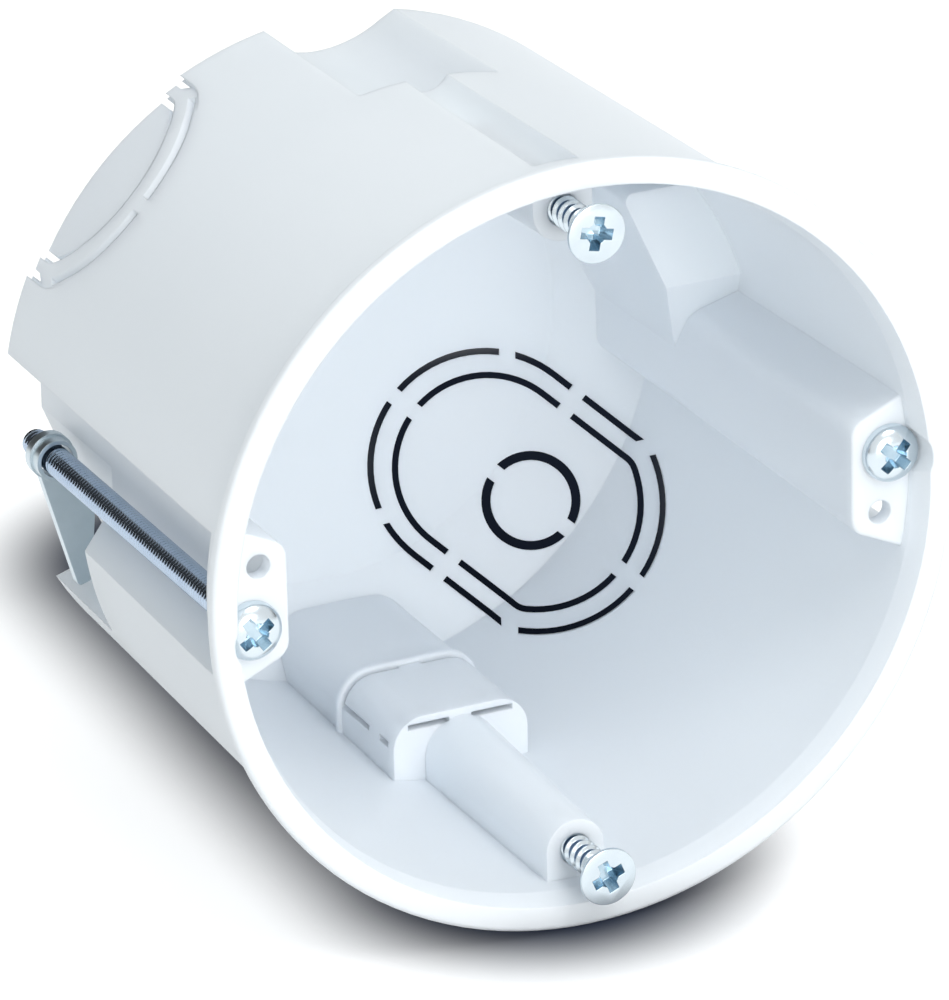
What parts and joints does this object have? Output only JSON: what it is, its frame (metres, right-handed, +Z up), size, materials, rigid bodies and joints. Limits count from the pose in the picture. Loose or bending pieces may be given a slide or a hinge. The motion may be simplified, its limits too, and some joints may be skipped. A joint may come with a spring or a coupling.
{
  "type": "drywall back box",
  "caption": "Round moulded back box for a plasterboard wall, with a flange, swing-out clamp claws on long screws, break-out cable entries and screws that hold the wiring device.",
  "frame": {"origin": "centre of the box at the flange's back face, which lies on the wall", "axes": "+Y along the box's axis, from the opening to the base inside the wall; +Z up, with the cable tunnel at the bottom; X across, through the claw screws"},
  "size_m": [0.071, 0.0601, 0.071],
  "materials": {
    "moulded_plastic": "satin",
    "zinc_screw": "bright zinc plate",
    "zinc_sheet": "blue zinc plate"
  },
  "bodies": {
    "box": {"box_shell": "moulded_plastic"},
    "device_screw_top": {"device_screw_top": "zinc_screw"},
    "device_screw_bottom": {"device_screw_bottom": "zinc_screw"},
    "claw_screw_right": {"claw_screw_right": "zinc_screw"},
    "claw_right": {"claw_right": "zinc_sheet"},
    "claw_screw_left": {"claw_screw_left": "zinc_screw"},
    "claw_left": {"claw_left": "zinc_sheet"}
  },
  "joints": [
    {"name": "device_screw_top_travel", "type": "slide", "parent": "box", "child": "device_screw_top", "axis": [0, 1, 0], "range_m": [-0.008, 0.0045]},
    {"name": "device_screw_bottom_travel", "type": "slide", "parent": "box", "child": "device_screw_bottom", "axis": [0, 1, 0], "range_m": [-0.008, 0.0045]},
    {"name": "claw_right_swing", "type": "hinge", "parent": "box", "child": "claw_screw_right", "pos_m": [0.0307, 0, 0.0021], "axis": [0, 1, 0], "range_deg": [0, 92]},
    {"name": "claw_right_draw", "type": "slide", "parent": "claw_screw_right", "child": "claw_right", "axis": [0, -1, 0], "range_m": [0, 0.0042]},
    {"name": "claw_left_swing", "type": "hinge", "parent": "box", "child": "claw_screw_left", "pos_m": [-0.0307, 0, -0.0021], "axis": [0, 1, 0], "range_deg": [0, 92]},
    {"name": "claw_left_draw", "type": "slide", "parent": "claw_screw_left", "child": "claw_left", "axis": [0, -1, 0], "range_m": [0, 0.0042]}
  ]
}
